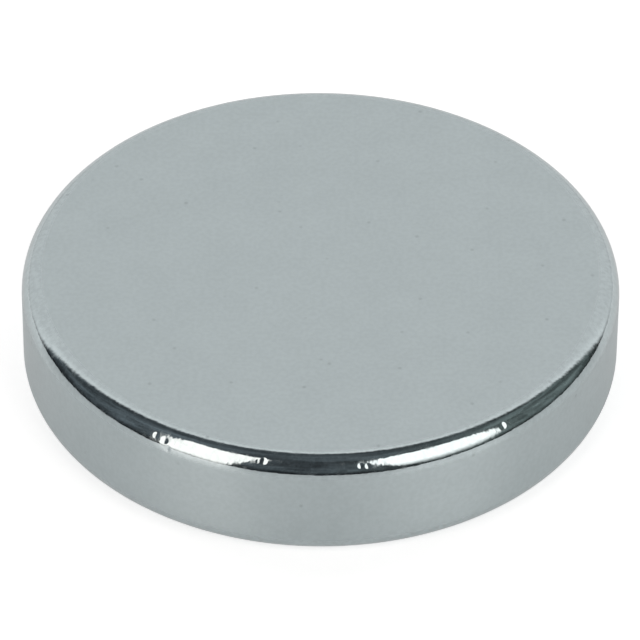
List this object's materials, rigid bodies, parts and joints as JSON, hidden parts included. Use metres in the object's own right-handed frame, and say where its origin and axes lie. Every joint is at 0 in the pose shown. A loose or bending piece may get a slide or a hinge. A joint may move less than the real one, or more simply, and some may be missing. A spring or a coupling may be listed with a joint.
{
  "type": "disc magnet",
  "caption": "Thin round permanent magnet: a plated disc with flat pole faces, a cylindrical wall and rounded edges.",
  "frame": {"origin": "centre of the lower pole face, on the plane that the disc lies on", "axes": "+Z along the disc's axis, from the lower pole face to the upper one; X and Y lie in the lower pole face, and every turn about Z gives the same part"},
  "size_m": [0.01, 0.01, 0.002],
  "materials": {
    "nickel_plating": "bright nickel plating: satin on the pole faces and the wall, polished by tumbling on the rounded edges"
  },
  "bodies": {
    "root": {"disc_magnet": "nickel_plating"}
  },
  "joints": []
}
